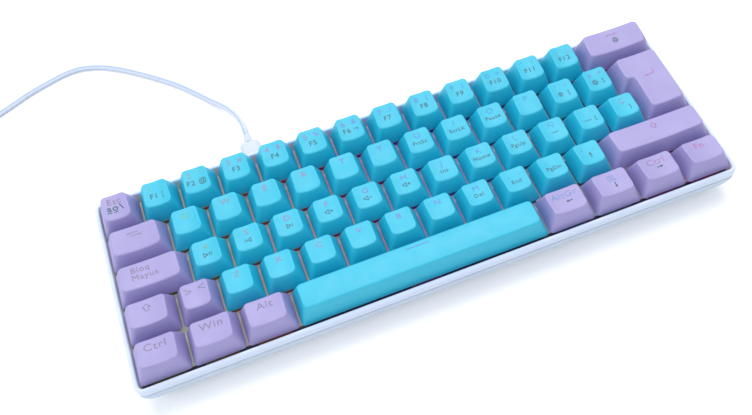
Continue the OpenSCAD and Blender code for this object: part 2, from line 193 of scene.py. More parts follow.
def lathe(bm, profile, at, steps):
    """Turned form around the upright axis at a place: profile is [radius, height] points."""
    rings = []
    for radius, height in profile:
        rings.append([(at[0] + radius * math.cos(2 * math.pi * k / steps),
                       at[1] + radius * math.sin(2 * math.pi * k / steps), height)
                      for k in range(steps)])
    made = ring_strip(bm, rings)
    cap_ring(bm, made[0], (at[0], at[1], profile[0][1]))
    cap_ring(bm, made[-1], (at[0], at[1], profile[-1][1]))


def tube_rings(points, radius, sides):
    """Rings around a path, without twist, and the run of the path up to each ring."""
    points = [Vector(p) for p in points]
    rings = []
    runs = [0.0]
    side = None
    for i, point in enumerate(points):
        ahead = points[min(i + 1, len(points) - 1)] - points[max(i - 1, 0)]
        ahead.normalize()
        if side is None:
            side = ahead.cross(Vector((0, 0, 1))).normalized()
        side = (side - ahead * side.dot(ahead)).normalized()
        up = side.cross(ahead)
        rings.append([point + radius * (math.cos(2 * math.pi * k / sides) * side
                                        + math.sin(2 * math.pi * k / sides) * up)
                      for k in range(sides)])
        if i:
            runs.append(runs[-1] + (point - points[i - 1]).length)
    return rings, runs


def add_tube(bm, points, radius, sides):
    rings, _ = tube_rings(points, radius, sides)
    made = ring_strip(bm, rings)
    cap_ring(bm, made[0], points[0])
    cap_ring(bm, made[-1], points[-1])


def smooth_path(points, steps):
    """Catmull-Rom curve through the points, with this many steps to each leg."""
    points = [Vector(p) for p in points]
    path = []
    last = len(points) - 1
    for i in range(last):
        a, b, c, d = (points[max(i - 1, 0)], points[i], points[i + 1], points[min(i + 2, last)])
        for k in range(steps):
            t = k / steps
            path.append(0.5 * (2 * b + (c - a) * t + (2 * a - 5 * b + 4 * c - d) * t * t
                               + (3 * b - a - 3 * c + d) * t ** 3))
    path.append(points[last])
    return path


# ---------------------------------------------------------------- materials


class Nodes:
    """Small helper around a material's node tree."""

    def __init__(self, name, colour, roughness):
        self.material = bpy.data.materials.new(name)
        self.material.use_nodes = True
        self.material.diffuse_color = (*colour, 1)
        self.tree = self.material.node_tree
        self.shader = self.tree.nodes["Principled BSDF"]
        self.shader.inputs["Base Color"].default_value = (*colour, 1)
        self.shader.inputs["Roughness"].default_value = roughness
        self.coordinates = self.add("ShaderNodeTexCoord").outputs["Object"]

    def add(self, kind, inputs=(), **settings):
        node = self.tree.nodes.new(kind)
        for key, value in settings.items():
            setattr(node, key, value)
        for key, value in dict(inputs).items():
            if isinstance(value, bpy.types.NodeSocket):
                self.tree.links.new(value, node.inputs[key])
            else:
                node.inputs[key].default_value = value
        return node

    def feed(self, socket, key):
        self.tree.links.new(socket, self.shader.inputs[key])

    def noise(self, scale, detail=2.0, coordinates=None):
        source = coordinates or self.coordinates
        return self.add("ShaderNodeTexNoise", {
            "Vector": source, "Scale": scale, "Detail": detail}).outputs["Fac"]

    def ranged(self, value, low, high, to_low, to_high):
        return self.add("ShaderNodeMapRange", {
            "Value": value, "From Min": low, "From Max": high,
            "To Min": to_low, "To Max": to_high}).outputs["Result"]

    def mixed(self, factor, first, second):
        node = self.add("ShaderNodeMix", data_type="RGBA")
        for index, value in ((0, factor), (6, first), (7, second)):
            if isinstance(value, bpy.types.NodeSocket):
                self.tree.links.new(value, node.inputs[index])
            elif index == 0:
                node.inputs[index].default_value = value
            else:
                node.inputs[index].default_value = (*value, 1)
        return node.outputs[2]

    def ramp(self, value, stops):
        node = self.add("ShaderNodeValToRGB", {"Fac": value})
        elements = node.color_ramp.elements
        while len(elements) < len(stops):
            elements.new(1.0)
        for element, (position, colour) in zip(elements, stops):
            element.position = position
            element.color = (*colour, 1)
        return node.outputs["Color"]

    def across(self):
        """0 at the left end of the keyboard and 1 at its right end."""
        x = self.add("ShaderNodeSeparateXYZ", {"Vector": self.coordinates}).outputs["X"]
        return self.ranged(x, -0.145, 0.145, 0, 1)

    def bump(self, height, strength, distance):
        node = self.add("ShaderNodeBump", {
            "Height": height, "Strength": strength, "Distance": distance})
        self.feed(node.outputs["Normal"], "Normal")

    def vary(self, colour, other, scale):
        """Base colour that drifts between two shades."""
        factor = self.ranged(self.noise(scale, 3.0), 0.35, 0.65, 0, 1)
        shade = self.mixed(factor, colour, other)
        self.feed(shade, "Base Color")
        return shade

    def rough(self, scale, low, high):
        self.feed(self.ranged(self.noise(scale, 3.0), 0.35, 0.65, low, high), "Roughness")


def moulded(name, colour, other, roughness, grain=2600, bump=0.12, specular=0.5):
    """Moulded plastic: a fine grain, slow drift of shade and of roughness."""
    n = Nodes(name, colour, roughness)
    n.shader.inputs["Specular IOR Level"].default_value = specular
    n.vary(colour, other, 60)
    n.rough(150, roughness - 0.05, roughness + 0.05)
    n.bump(n.noise(grain, 3.0), bump, 0.00006)
    return n


def metal(name, colour, roughness, streak=(1, 1, 30)):
    """Plated metal with fine drawn streaks."""
    n = Nodes(name, colour, roughness)
    n.shader.inputs["Metallic"].default_value = 1
    stretched = n.add("ShaderNodeMapping", {"Vector": n.coordinates, "Scale": streak})
    lines = n.noise(300, 4.0, stretched.outputs["Vector"])
    n.feed(n.ranged(lines, 0.3, 0.7, roughness - 0.08, roughness + 0.1), "Roughness")
    n.vary(colour, tuple(c * 0.88 for c in colour), 400)
    n.bump(lines, 0.05, 0.00003)
    return n.material


# Light that every surface adds by sheen and emission, and the share of colour that comes back
SHEEN = 0.12
LIGHT = 1.23


def seen(red, green, blue):
    """Surface colour that looks like these screen values, 0 to 255, in this scene's light."""
    colour = []
    for value in (red, green, blue):
        linear = ((value / 255 + 0.055) / 1.055) ** 2.4
        colour.append(max(0.0, (linear - SHEEN) / LIGHT))
    return tuple(colour)


# Painted glow: the light under the keys, from the left end to the right end, given as emission to
# the switch plastic; the diodes themselves give no light
GLOW = [
    (0.00, (0.30, 0.26, 0.10)),
    (0.10, (0.30, 0.34, 0.08)),
    (0.18, (0.75, 0.22, 0.06)),
    (0.32, (0.85, 0.05, 0.10)),
    (0.42, (0.60, 0.04, 0.38)),
    (0.50, (0.26, 0.05, 0.80)),
    (0.60, (0.10, 0.10, 0.80)),
    (0.70, (0.08, 0.22, 0.60)),
    (0.78, (0.10, 0.30, 0.45)),
    (0.86, (0.50, 0.08, 0.45)),
    (1.00, (0.70, 0.05, 0.28)),
]
# Painted glow: the tint that the same light gives to white parts near it, given to them as emission
GLOW_ON_WHITE = [
    (0.00, (0.80, 0.78, 0.66)),
    (0.14, (0.82, 0.84, 0.66)),
    (0.24, (0.95, 0.70, 0.62)),
    (0.36, (0.95, 0.56, 0.66)),
    (0.44, (0.80, 0.50, 0.90)),
    (0.54, (0.56, 0.46, 0.98)),
    (0.66, (0.58, 0.66, 0.98)),
    (0.78, (0.70, 0.72, 0.95)),
    (0.88, (0.90, 0.56, 0.85)),
    (1.00, (0.95, 0.60, 0.75)),
]
# Painted backlight: legend colours on purple caps and on turquoise caps, from the left end to the
# right end, that stand in for the diodes' light shining through the legends
BACKLIT_LEGEND_PURPLE = [
    (0.00, seen(164, 150, 176)),
    (0.10, seen(166, 152, 174)),
    (0.20, seen(158, 150, 188)),
    (0.28, seen(165, 152, 184)),
    (0.62, seen(146, 168, 220)),
    (0.82, seen(148, 172, 222)),
    (0.88, seen(196, 142, 190)),
    (1.00, seen(204, 134, 184)),
]
BACKLIT_LEGEND_TURQUOISE = [
    (0.00, seen(120, 200, 180)),
    (0.14, seen(134, 208, 172)),
    (0.20, seen(160, 170, 186)),
    (0.28, seen(180, 150, 200)),
    (0.35, seen(176, 152, 204)),
    (0.42, seen(146, 154, 224)),
    (0.52, seen(126, 160, 234)),
    (0.64, seen(100, 176, 232)),
    (0.74, seen(98, 186, 230)),
    (0.84, seen(150, 168, 220)),
    (1.00, seen(176, 146, 206)),
]


def lit_case(name):
    """The rim's inner wall and the plate, which catch the light from under the keys: a weak emission
    in its colours is painted glow that stands in for it.
    """
    n = moulded(name, (0.62, 0.68, 0.80), (0.58, 0.64, 0.78), 0.5)
    n.feed(n.ramp(n.across(), GLOW_ON_WHITE), "Emission Color")
    n.shader.inputs["Emission Strength"].default_value = 0.1
    return n.material


def plate_paint_and_painted_light():
    n = Nodes("plate_paint_and_painted_light", (0.84, 0.83, 0.82), 0.55)
    shade = n.vary((0.78, 0.77, 0.77), (0.66, 0.65, 0.65), 90)
    # Painted shade: the strip between the front keys and the rim is painted near black, with only a
    # faint dark glow, standing in for the deep shade that lies there
    y = n.add("ShaderNodeSeparateXYZ", {"Vector": n.coordinates}).outputs["Y"]
    unshaded_share = n.ranged(y, -0.0437, -0.0430, 0.0, 1.0)
    n.feed(n.mixed(unshaded_share, (0.03, 0.03, 0.05), shade), "Base Color")
    n.rough(260, 0.45, 0.65)
    n.bump(n.noise(1800, 4.0), 0.25, 0.0001)
    # Painted glow: emission in the colours of the light under the keys
    glow_on_plate = n.ramp(n.across(), GLOW_ON_WHITE)
    n.feed(n.mixed(unshaded_share, (0.05, 0.03, 0.10), glow_on_plate), "Emission Color")
    n.shader.inputs["Emission Strength"].default_value = 0.14
    return n.material


def legend_material(name, stops):
    n = Nodes(name, stops[4][1], 0.45)
    # Painted backlight: the base colour follows the diodes' light along the keyboard
    lit = n.ramp(n.across(), stops)
    cloud = n.ranged(n.noise(900, 2.0), 0.3, 0.7, 0.0, 0.12)
    n.feed(n.mixed(cloud, lit, (0.5, 0.5, 0.6)), "Base Color")
    return n.material


def glowing(name, colour, other, roughness, strength):
    """Switch plastic with painted glow: emission in the diodes' colours stands in for the coloured
    light of the diodes.
    """
    n = moulded(name, colour, other, roughness)
    n.feed(n.ramp(n.across(), GLOW), "Emission Color")
    n.shader.inputs["Emission Strength"].default_value = strength
    return n.material


def printed(name, colour):
    n = Nodes(name, colour, 0.6)
    n.vary(colour, tuple(c * 1.5 for c in colour), 1500)
    n.bump(n.noise(3000, 2.0), 0.1, 0.00004)
    return n.material


def braid():
    """Sleeve of fine crossing yarns, with paler blue yarns running along it."""
    n = Nodes("braid", (0.80, 0.86, 0.95), 0.6)
    uv = n.add("ShaderNodeTexCoord").outputs["UV"]
    split = n.add("ShaderNodeSeparateXYZ", {"Vector": uv})
    along, around = split.outputs["X"], split.outputs["Y"]

    def wave(along_turns, around_turns):
        run = n.add("ShaderNodeMath", {0: along, 1: along_turns * 2 * math.pi},
                    operation="MULTIPLY").outputs[0]
        turn = n.add("ShaderNodeMath", {0: around, 1: around_turns * 2 * math.pi},
                     operation="MULTIPLY").outputs[0]
        both = n.add("ShaderNodeMath", {0: run, 1: turn}, operation="ADD").outputs[0]
        return n.add("ShaderNodeMath", {0: both}, operation="SINE").outputs[0]

    crossing = n.add("ShaderNodeMath", {0: wave(900, 6), 1: wave(900, -6)},
                     operation="MAXIMUM").outputs[0]
    lines = n.ranged(wave(0, 4), 0.2, 0.9, 0, 1)
    yarn = n.ranged(crossing, -0.2, 0.9, 0, 1)
    pale = n.mixed(yarn, (0.42, 0.49, 0.62), (0.68, 0.73, 0.80))
    n.feed(n.mixed(lines, pale, (0.30, 0.42, 0.66)), "Base Color")
    n.bump(crossing, 0.4, 0.00015)
    n.shader.inputs["Sheen Weight"].default_value = 0.3
    return n.material


TURQUOISE = (0.008, 0.445, 0.63)
PURPLE = (0.315, 0.28, 0.555)


def keycap(name, colour):
    n = moulded(name, colour, tuple(c * 0.96 for c in colour), 0.5, 3200, 0.15, 0.75)
    return n.material


# Name, two shades, roughness, grain and bump of the plain moulded plastics
MOULDED = {
    "case": ("case_white", (0.62, 0.70, 0.86), (0.60, 0.68, 0.84), 0.42, 1600, 0.1),
    # Painted shade: a darker copy of the case white for the lower shell and the frame's lower band,
    # whose faces look down
    "case_low_painted_shade": ("case_low_painted_shade", (0.50, 0.58, 0.70), (0.48, 0.56, 0.68), 0.5, 1600, 0.1),
    "board": ("board_green", (0.02, 0.16, 0.08), (0.03, 0.20, 0.10), 0.3, 900, 0.2),
    "chip": ("chip_black", (0.02, 0.02, 0.022), (0.03, 0.03, 0.03), 0.5, 4000, 0.3),
    "led": ("led_lens", (0.85, 0.85, 0.80), (0.80, 0.80, 0.70), 0.2, 900, 0.05),
    "stem": ("stem_plastic", (0.45, 0.05, 0.04), (0.38, 0.04, 0.04), 0.35),
    "nylon": ("stabilizer_nylon", (0.78, 0.78, 0.74), (0.72, 0.72, 0.68), 0.4),
    "rubber": ("foot_rubber", (0.10, 0.10, 0.11), (0.14, 0.14, 0.15), 0.8, 1500, 0.5),
    "plug_white": ("plug_white", (0.56, 0.61, 0.72), (0.53, 0.58, 0.70), 0.5, 2000),
    "tie": ("tie_fabric", (0.55, 0.62, 0.74), (0.48, 0.56, 0.70), 0.85, 2500, 0.7),
}
M = {
    **{key: moulded(*settings).material for key, settings in MOULDED.items()},
    "cap_turquoise": keycap("cap_turquoise", TURQUOISE),
    "cap_purple": keycap("cap_purple", PURPLE),
    "legend_turquoise": legend_material("legend_turquoise", BACKLIT_LEGEND_TURQUOISE),
    "legend_purple": legend_material("legend_purple", BACKLIT_LEGEND_PURPLE),
    "print_dark": printed("print_dark", (0.035, 0.085, 0.105)),
    "case_lit": lit_case("case_lit"),
    "plate": plate_paint_and_painted_light(),
    "steel": metal("plated_steel", (0.62, 0.62, 0.64), 0.3),
    "spring": metal("spring_steel", (0.72, 0.68, 0.60), 0.25, (1, 1, 1)),
    # The switch housings carry painted glow, emission that stands in for the diodes' light
    "switch_black": glowing("switch_black", (0.035, 0.035, 0.04), (0.05, 0.05, 0.05), 0.45, 0.08),
    "switch_clear": glowing("switch_clear", (0.40, 0.42, 0.44), (0.34, 0.36, 0.40), 0.15, 0.22),
    "braid": braid(),
}

# ---------------------------------------------------------------- cable

CABLE_R = 1.5
SOCKET_X = -66.5
SOCKET_W = -8.23
EXIT_Y = 71.5
ROUTE = [
    (-66.8, 85, 13.6), (-68.6, 97, 9.2), (-72.6, 110, 4.4), (-79.4, 122, 1.6),
    (-90, 137, 1.5), (-98.5, 147, 1.5), (-109.5, 158, 1.5), (-121, 168.3, 1.5),
    (-131.5, 175.5, 1.5), (-142, 179.6, 1.5), (-151, 179.8, 1.5), (-160, 177.4, 1.5),
    (-173.5, 172.4, 1.5), (-186, 166, 1.5), (-198, 160.4, 1.5), (-209, 158, 1.5),
]
TAIL = [
    (-241.5, 184, 10.2), (-241.8, 190, 8.6), (-242.4, 196, 5.9), (-242.9, 201, 4.3),
    (-243, 206, 4),
]
COIL_CENTRE = (-222, 178)
COIL_RADII = [19.5, 16.5, 13.5]
COIL_LAYERS = 4
TURN_STEPS = 36
TIE_ANGLE = math.radians(40)
TIE_LIFT = 0.6


def coil_points():
    """Layers wound inwards and outwards in turn, clockwise, from the south side to the west."""
    path = []
    order = []
    for layer in range(COIL_LAYERS):
        radii = COIL_RADII if layer % 2 == 0 else COIL_RADII[::-1]
        order += [(radius, layer) for radius in radii]
    steps = TURN_STEPS * len(order) + TURN_STEPS // 4
    for k in range(steps + 1):
        turn = k / TURN_STEPS
        here = min(int(turn), len(order) - 1)
        after = min(here + 1, len(order) - 1)
        # The step to the next turn is made in the last sixth of a turn
        share = max(0.0, min(1.0, (turn - here - 0.8) / 0.2))
        share = share * share * (3 - 2 * share)
        radius = order[here][0] + (order[after][0] - order[here][0]) * share
        layer = order[here][1] + (order[after][1] - order[here][1]) * share
        angle = -math.pi / 2 - 2 * math.pi * turn
        off = math.remainder(angle - TIE_ANGLE, 2 * math.pi)
        lift = TIE_LIFT * math.exp(-(off / 0.35) ** 2)
        path.append(Vector((COIL_CENTRE[0] + radius * math.cos(angle),
                            COIL_CENTRE[1] + radius * math.sin(angle),
                            CABLE_R + 2 * CABLE_R * layer + lift)))
    return path


def cable_path():
    to_mm = Matrix.Scale(1 / MM, 4)
    leave = to_mm @ (PLATE @ Vector((SOCKET_X, EXIT_Y, SOCKET_W)))
    lead = to_mm @ (PLATE @ Vector((SOCKET_X, EXIT_Y + 4, SOCKET_W)))
    coil = coil_points()
    first = smooth_path([leave, lead, *ROUTE, coil[0], coil[3]], 6)
    first = first[:-6]
    last = smooth_path([coil[-4], coil[-1], *TAIL], 6)[6:]
    path = first[:-1] + coil[:-1] + last
    for p in path:
        p.z = max(p.z, CABLE_R + 0.02)
    return path


def add_cable():
    path = [p * MM for p in cable_path()]
    bm = bmesh.new()
    sides = 12
    rings, runs = tube_rings(path, CABLE_R * MM, sides)
    made = ring_strip(bm, rings)
    uv = bm.loops.layers.uv.new("UVMap")
    where = {}
    for i, ring in enumerate(made):
        for k, v in enumerate(ring):
            where[v] = (runs[i], k)
    for face in bm.faces:
        ks = [where[loop.vert][1] for loop in face.loops]
        wraps = 0 in ks and sides - 1 in ks
        for loop in face.loops:
            run, k = where[loop.vert]
            loop[uv].uv = (run, (sides if wraps and k == 0 else k) / sides)
    cap_ring(bm, made[0], path[0])
    cap_ring(bm, made[-1], path[-1])
    piece = add_piece(bm, "cable_braided", Matrix.Identity(4), ["braid"],
                      BASE, "cable_braid", "cable", "cable_coil")
    return piece, path


def rounded_section(half_x, half_z, radius, y, centre=(0, 0)):
    """Upright rounded section square to y, as 3-D points."""
    flat = outline(rectangle(half_x, half_z), radius, arc=6, side=2)
    return [(centre[0] + p.x, y, centre[1] + p.y) for p in flat]


def lofted(bm, sections):
    made = ring_strip(bm, sections)
    for ring, section in ((made[0], sections[0]), (made[-1], sections[-1])):
        middle = sum((Vector(p) for p in section), Vector()) / len(section)
        cap_ring(bm, ring, middle)


def grip_sections(y0, length, half_x, half_z, centre):
    """Overmould of a plug: rounded at its front edge and at its shoulders."""
    shape = [(0.0, 0.5), (0.4, 0.12), (1.0, 0.0), (0.45 * length, 0.0), (length - 2.6, 0.02),
             (length - 1.5, 0.25), (length - 0.7, 0.85), (length - 0.2, 1.6), (length, 2.3)]
    return [rounded_section(half_x - inset, half_z - 0.55 * inset, 2.4 - 0.35 * inset, y0 + run,
                            centre) for run, inset in shape]


def neck_sections(y0, length, start_r, end_r, centre):
    """Strain relief that tapers to the cable, with shallow grooves."""
    sections = []
    steps = 8
    for k in range(steps + 1):
        share = k / steps
        radius = start_r + (end_r - start_r) * share ** 0.8
        groove = 0.18 if k % 2 and k < steps else 0.0
        sections.append([(centre[0] + (radius - groove) * math.cos(a), y0 + length * share,
                          centre[1] + (radius - groove) * math.sin(a))
                         for a in [2 * math.pi * i / 32 for i in range(32)]])
    return sections


def add_keyboard_plug():
    bm = bmesh.new()
    centre = (SOCKET_X, SOCKET_W)
    lofted(bm, grip_sections(49.8, 16.7, 5.3, 3.0, centre))
    lofted(bm, neck_sections(66.0, 5.4, 2.8, 1.7, centre))
    add_piece(bm, "plug_grip_keyboard", PLATE, ["plug_white"], BASE, "plug_white", "plug_grips")
    bm = bmesh.new()
    sections = [rounded_section(4.125 - inset, 1.2 - inset, 1.15, y, centre)
                for y, inset in ((43.4, 0.35), (43.4, 0.1), (43.6, 0.0), (49.9, 0.0))]
    lofted(bm, sections)
    add_piece(bm, "plug_shell_keyboard", PLATE, ["steel"], BASE, "plug_steel", "plug_shells")


PLUG_A = (-243, 206, 4)


def add_computer_plug():
    x, y, z = PLUG_A
    centre = (x, z)
    bm = bmesh.new()
    flip = Matrix.Translation((0, 2 * (y + 6) + 18, 0)) @ Matrix.Scale(-1, 4, (0, 1, 0))
    lofted(bm, grip_sections(y + 6, 18, 7.5, 4.0, centre))
    bm.transform(flip)
    lofted(bm, neck_sections(y, 6.4, 1.7, 2.6, centre))
    grip = add_piece(bm, "plug_grip_computer", ROW, ["plug_white"], BASE, "plug_white")
    bm = bmesh.new()
    front = y + 36
    wall = 0.4
    hollow = [(6.0, 2.25, front - 12.4), (6.0, 2.25, front - 0.2), (5.9, 2.15, front),
              (6.0 - wall, 2.25 - wall, front), (6.0 - wall, 2.25 - wall, front - 11)]
    lofted(bm, [rounded_section(a, b, 0.4, at, centre) for a, b, at in hollow])
    for side in (-1, 1):
        mark = Matrix.Translation((x + side * 2.6, front - 6, z + 2.26))
        made = bmesh.ops.create_cube(bm, size=1)["verts"]
        bmesh.ops.transform(bm, verts=made, matrix=mark @ Matrix.Diagonal((2.4, 2.0, 0.12, 1)))
        edges = list({e for v in made for e in v.link_edges})
        bmesh.ops.bevel(bm, geom=edges, offset=0.05, segments=1, affect="EDGES")
    shell = add_piece(bm, "plug_shell_computer", ROW, ["steel"], BASE, "plug_steel")
    bm = bmesh.new()
    tongue = [(5.3, 0.9, front - 11.2), (5.3, 0.9, front - 1.0), (5.1, 0.75, front - 0.8)]
    lofted(bm, [rounded_section(a, b, 0.3, at, (x, z - 0.9)) for a, b, at in tongue])
    tongue = add_piece(bm, "plug_tongue_computer", ROW, ["nylon"], BASE, "plug_white")
    return grip, shell, tongue


def add_tie():
    """Hook-and-loop strap round the coil's section."""
    across = Vector((-math.sin(TIE_ANGLE), math.cos(TIE_ANGLE), 0))
    outwards = Vector((math.cos(TIE_ANGLE), math.sin(TIE_ANGLE), 0))
    low, high = 0.3, 2 * CABLE_R * COIL_LAYERS + TIE_LIFT + 0.35
    inner, outer = COIL_RADII[-1] - CABLE_R - 0.4, COIL_RADII[0] + CABLE_R + 0.4
    loop = outline([(inner, low), (outer, low), (outer, high), (inner, high)], 2.4, 6, 4)
    loop = [Vector((p.x, p.y)) for p in loop]
    centre = Vector(((inner + outer) / 2, (low + high) / 2))
    bm = bmesh.new()
    rings = []
    for p in loop:
        away = (p - centre).normalized() * 0.28
        ring = []
        for side, out in ((-3.2, 0), (-3.0, 1), (3.0, 1), (3.2, 0), (3.0, -1), (-3.0, -1)):
            q = p + away * out
            ring.append(Vector((*COIL_CENTRE, 0)) + outwards * q.x + across * side
                        + Vector((0, 0, q.y)))
        rings.append(ring)
    ring_strip(bm, rings, close=True)
    return add_piece(bm, "cable_tie", ROW, ["tie"], BASE, "cable_braid")


cable, cable_route = add_cable()
add_keyboard_plug()
computer_plug = add_computer_plug()
tie = add_tie()

# ---------------------------------------------------------------- keys

# Rows from the back: height of the cap's front and back edge above the plate, then how far its
# front and back faces lean in
ROWS = [
    (15.2, 17.0, 3.05, 2.95),
    (13.7, 14.9, 3.55, 2.65),
    (13.7, 14.0, 3.35, 2.85),
    (14.6, 13.6, 3.35, 2.45),
    (14.6, 13.6, 3.35, 2.45),
]
# Node, row, left edge and width in key pitches, keys side by side
KEYS = [
    ("key_escape", 0, 0, 1, 1), ("keys_1_2", 0, 1, 1, 2), ("keys_3_4", 0, 3, 1, 2),
    ("keys_5_6", 0, 5, 1, 2), ("keys_7_8", 0, 7, 1, 2), ("keys_9_0", 0, 9, 1, 2),
    ("keys_f11_f12", 0, 11, 1, 2), ("key_backspace", 0, 13, 2, 1),
    ("key_tab", 1, 0, 1.5, 1), ("keys_q_w", 1, 1.5, 1, 2), ("keys_e_r", 1, 3.5, 1, 2),
    ("keys_t_y", 1, 5.5, 1, 2), ("keys_u_i", 1, 7.5, 1, 2), ("keys_o_p", 1, 9.5, 1, 2),
    ("keys_brackets", 1, 11.5, 1, 2),
    ("key_caps_lock", 2, 0, 1.75, 1), ("keys_a_s", 2, 1.75, 1, 2), ("keys_d_f", 2, 3.75, 1, 2),
    ("keys_g_h", 2, 5.75, 1, 2), ("keys_j_k", 2, 7.75, 1, 2), ("keys_l_n_tilde", 2, 9.75, 1, 2),
    ("keys_braces", 2, 11.75, 1, 2),
    ("key_left_shift", 3, 0, 1.25, 1), ("key_angle", 3, 1.25, 1, 1), ("keys_z_x", 3, 2.25, 1, 2),
    ("keys_c_v", 3, 4.25, 1, 2), ("keys_b_n", 3, 6.25, 1, 2), ("keys_m_comma", 3, 8.25, 1, 2),
    ("keys_dot_dash", 3, 10.25, 1, 2), ("key_right_shift", 3, 12.25, 2.75, 1),
    ("key_left_ctrl", 4, 0, 1.25, 1), ("key_win", 4, 1.25, 1.25, 1), ("key_alt", 4, 2.5, 1.25, 1),
    ("key_space", 4, 3.75, 6.25, 1), ("key_alt_gr", 4, 10, 1.25, 1), ("key_menu", 4, 11.25, 1.25, 1),
    ("key_right_ctrl", 4, 12.5, 1.25, 1), ("key_fn", 4, 13.75, 1.25, 1),
]
ENTER = ("key_enter", 14.375, 1.5)
STABILIZERS = {"key_backspace": 11.94, "key_right_shift": 11.94, "key_space": 50.0,
               "key_enter": 11.94}


def key_x(u):
    return (u - 7.5) * PITCH


def row_y(row):
    return (2 - row) * PITCH


class Cap:
    """Shape of one keycap around its own centre. corners has x, y, the side that x leans to,
    and how far y leans in at the top."""

    def __init__(self, corners, front, back, dish, crown=0.0):
        self.corners = corners
        (self.front_y, self.front_h), (self.back_y, self.back_h) = front, back
        rate = SIDE_LEAN / ((self.front_h + self.back_h) / 2 - SKIRT)
        self.top = []
        for x, y, lean_x, lean_y in corners:
            top_y = y + lean_y
            self.top.append((x + lean_x * rate * (self.plane(top_y) - SKIRT), top_y))
        xs = [p[0] for p in self.top]
        self.middle_x, self.half_x = (min(xs) + max(xs)) / 2, (max(xs) - min(xs)) / 2
        self.middle_y = (self.front_y + self.back_y) / 2
        self.half_y = (self.back_y - self.front_y) / 2
        self.dish, self.crown = dish, crown

    def plane(self, y):
        share = (y - self.front_y) / (self.back_y - self.front_y)
        return self.front_h + (self.back_h - self.front_h) * share

    def hollow(self, x, y):
        """How far the top lies below the plane through its edges."""
        along = min(1.0, abs(x - self.middle_x) / self.half_x)
        up = min(1.0, abs(y - self.middle_y) / self.half_y)
        return self.dish * (1 - along ** 2) + self.crown * up ** 2

    def height(self, x, y):
        return self.plane(y) - self.hollow(x, y)

    def inset(self, corners, by):
        moved = []
        for (x, y), (_, _, lean_x, lean_y) in zip(corners, self.corners):
            moved.append((x + math.copysign(by, lean_x), y + math.copysign(by, lean_y)))
        return moved

    def rings(self):
        base = [(x, y) for x, y, _, _ in self.corners]
        low = outline(base, 1.9)
        sharp = outline(self.top, 2.5)
        bend = outline(self.inset(self.top, 0.55), 2.1)
        edge, rings = [], []
        for a, b in zip(low, sharp):
            full = self.plane(b.y) - SKIRT
            share = 1 - self.hollow(b.x, b.y) / full
            p = a.lerp(b, share)
            edge.append(Vector((p.x, p.y, self.height(p.x, p.y))))
        skirt = [Vector((p.x, p.y, SKIRT)) for p in low]
        inner_top = [Vector((p.x, p.y, self.height(p.x, p.y))) for p in bend]
        middle = Vector((self.middle_x, self.middle_y))
        # From the middle of the top outwards
        for scale in (0.12, 0.3, 0.5, 0.68, 0.84, 0.94):
            ring = []
            for p in inner_top:
                flat = middle.lerp(Vector((p.x, p.y)), scale)
                ring.append(Vector((flat.x, flat.y, self.height(flat.x, flat.y))))
            rings.append(ring)
        rings.append(inner_top)
        # Rounded edge, then the side down to the skirt
        shoulder = []
        for e, s in zip(edge, skirt):
            shoulder.append(e.lerp(s, 0.5 / (e - s).length))
        for t in (0.25, 0.5, 0.75):
            rings.append([p * (1 - t) ** 2 + e * 2 * t * (1 - t) + q * t ** 2
                          for p, e, q in zip(inner_top, edge, shoulder)])
        rings.append(shoulder)
        for t in (0.35, 0.7, 0.985):
            rings.append([q.lerp(s, t) for q, s in zip(shoulder, skirt)])
        lip = outline(self.inset(base, 0.2), 1.7)
        rings.append([Vector((p.x, p.y, SKIRT)) for p in lip])
        # Hollow inside
        inner = outline(self.inset(base, CAP_WALL), 0.06)
        rings.append([Vector((p.x, p.y, SKIRT)) for p in inner])
        ceiling = outline(self.inset(self.top, CAP_WALL), 0.5)
        for down in (CAP_TOP + 0.8, CAP_TOP):
            ring = []
            for a, b in zip(inner, ceiling):
                height = self.height(b.x, b.y) - down
                p = a.lerp(b, (height - SKIRT) / (self.plane(b.y) - SKIRT))
                if down == CAP_TOP:
                    p = p.lerp(middle, 0.08)
                ring.append(Vector((p.x, p.y, height)))
            rings.append(ring)
        return rings

    def build(self, bm, at):
        shift = Vector((at[0], at[1], 0))
        rings = [[p + shift for p in ring] for ring in self.rings()]
        made = ring_strip(bm, rings)
        top = Vector((self.middle_x, self.middle_y, self.height(self.middle_x, self.middle_y)))
        cap_ring(bm, made[0], top + shift)
        cap_ring(bm, made[-1], top + shift - Vector((0, 0, CAP_TOP)))


def plain_cap(row, width):
    front_h, back_h, front_lean, back_lean = ROWS[row]
    half = (width * PITCH - CAP_GAP) / 2
    corners = [(-half, -CAP_HALF, 1, front_lean), (half, -CAP_HALF, -1, front_lean),
               (half, CAP_HALF, -1, -back_lean), (-half, CAP_HALF, 1, -back_lean)]
    front = (-CAP_HALF + front_lean, front_h)
    back = (CAP_HALF - back_lean, back_h)
    if width > 6:
        return Cap(corners, front, back, 0.0, 0.55)
    return Cap(corners, front, back, 0.95 if width < 1.6 else 0.8)


def enter_cap():
    left, narrow, right = [u * PITCH + side * CAP_GAP / 2
                           for u, side in ((-0.875, 1), (-0.625, 1), (0.625, -1))]
    depth = PITCH - CAP_GAP / 2
    front_lean, back_lean = ROWS[2][2], ROWS[1][3]
    corners = [(narrow, -depth, 1, front_lean), (right, -depth, -1, front_lean),
               (right, depth, -1, -back_lean), (left, depth, 1, -back_lean),
               (left, CAP_GAP / 2, 1, front_lean), (narrow, CAP_GAP / 2, 1, front_lean)]
    return Cap(corners, (-depth + front_lean, ROWS[2][0]), (depth - back_lean, ROWS[1][1]), 0.6)


# ---- Legends


LETTER_STRETCH = 1.1
# Font size for each unit of a capital's height
CAPITAL = 1.37


